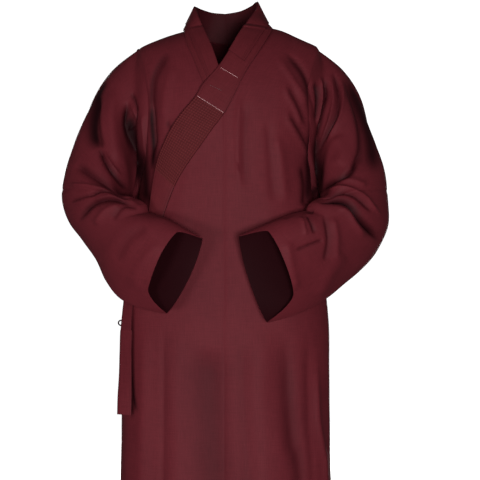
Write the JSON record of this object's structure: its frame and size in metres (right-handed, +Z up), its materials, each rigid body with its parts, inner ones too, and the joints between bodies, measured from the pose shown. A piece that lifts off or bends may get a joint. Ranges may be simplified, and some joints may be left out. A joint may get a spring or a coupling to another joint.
{
  "type": "monk's robe",
  "caption": "Long cross-over robe of maroon cloth with wide sleeves, banded collar with a quilted stretch and a side tie, hanging as worn.",
  "frame": {"origin": "middle of the neck hole, level with the foot of the collar, where the shoulders hold the robe up", "axes": "+Z up along the robe, -Y towards its front, +X towards the wearer's left sleeve"},
  "size_m": [0.699, 0.3655, 1.3375],
  "materials": {
    "robe_cloth": "smooth woven maroon cloth with a faint sheen",
    "collar_cloth": "the same cloth folded and stitched as bands",
    "cord": "dark maroon cord"
  },
  "bodies": {
    "root": {"back_left": "robe_cloth", "back_right": "robe_cloth", "front_left": "robe_cloth", "front_overlap": "robe_cloth", "front_right": "robe_cloth", "sleeve_upper_left": "robe_cloth", "sleeve_upper_right": "robe_cloth", "sleeve_lower_left": "robe_cloth", "sleeve_lower_right": "robe_cloth", "collar_outer": "collar_cloth", "collar_quilted": "collar_cloth", "collar_end": "collar_cloth", "collar_inner": "collar_cloth", "collar_guard": "collar_cloth", "tie": "robe_cloth", "tie_loop": "cord"}
  },
  "joints": []
}
